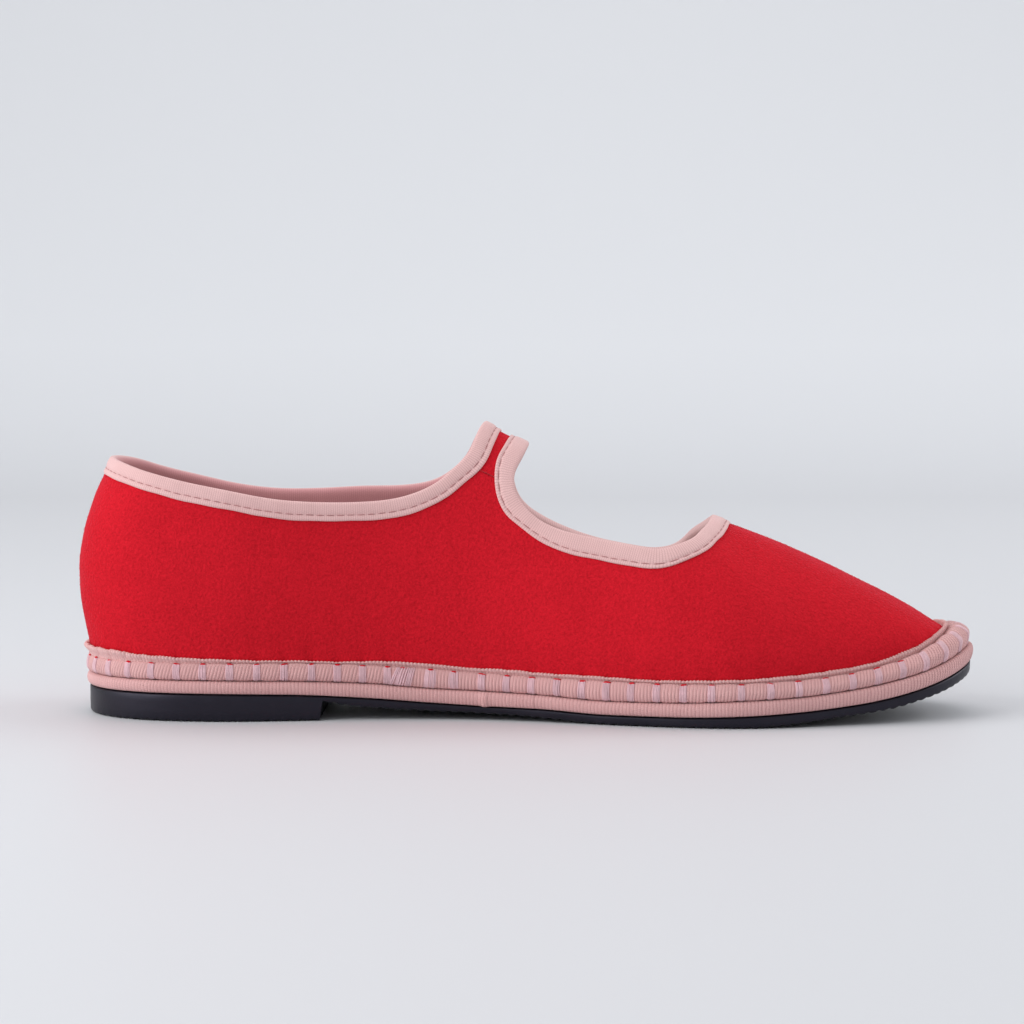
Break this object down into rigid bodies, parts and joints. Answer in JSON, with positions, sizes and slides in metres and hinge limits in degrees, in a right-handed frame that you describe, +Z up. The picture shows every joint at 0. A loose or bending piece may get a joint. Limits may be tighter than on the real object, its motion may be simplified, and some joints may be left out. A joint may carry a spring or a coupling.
{
  "type": "mary jane flat",
  "caption": "Low-heeled velvet flat with a fixed strap over the instep, open throat, ribbon-bound edges, a stitched rolled edge, a ribbon-covered midsole and a moulded rubber sole",
  "frame": {"origin": "centre of the bounding box at floor level", "axes": "+X from heel to toe along the shoe, +Z up, +Y towards the outer side of the foot"},
  "size_m": [0.2505, 0.0861, 0.0811],
  "materials": {
    "velvet": "short dense pile with a soft sheen at grazing angles",
    "grosgrain_tape": "matte woven ribbon with fine cross ribs",
    "insole_cloth": "matte plain-woven cloth",
    "sole_rubber": "moulded, low satin"
  },
  "bodies": {
    "root": {"outsole": "sole_rubber", "midsole": "grosgrain_tape", "insole": "insole_cloth", "edge_roll": "grosgrain_tape", "upper": "velvet", "strap": "velvet", "collar_binding": "grosgrain_tape", "throat_binding": "grosgrain_tape"}
  },
  "joints": []
}
